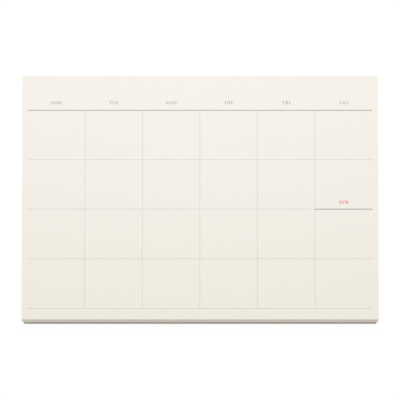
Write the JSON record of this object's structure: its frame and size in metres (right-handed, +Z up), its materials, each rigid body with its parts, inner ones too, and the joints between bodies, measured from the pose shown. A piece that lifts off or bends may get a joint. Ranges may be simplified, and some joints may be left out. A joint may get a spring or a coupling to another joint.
{
  "type": "weekly planner pad",
  "caption": "Landscape desk pad of printed weekly planner sheets, glued along a long edge on a stiff backing board.",
  "frame": {"origin": "on the surface that the pad rests on, under the middle of the whole pad", "axes": "+X along the long side, to the right as the sheets are read; +Y towards the glued edge; +Z up, out of the top sheet"},
  "size_m": [0.21, 0.1484, 0.0114],
  "materials": {
    "page_paper": "matte",
    "grey_board": "matte",
    "padding_glue": "satin",
    "bold_ink": "matte",
    "fine_ink": "matte"
  },
  "bodies": {
    "root": {"page_block": "page_paper", "backing_board": "grey_board", "padding_glue": "padding_glue", "header_rule": "bold_ink", "grid_rules": "fine_ink", "sunday_rule": "bold_ink"}
  },
  "joints": []
}
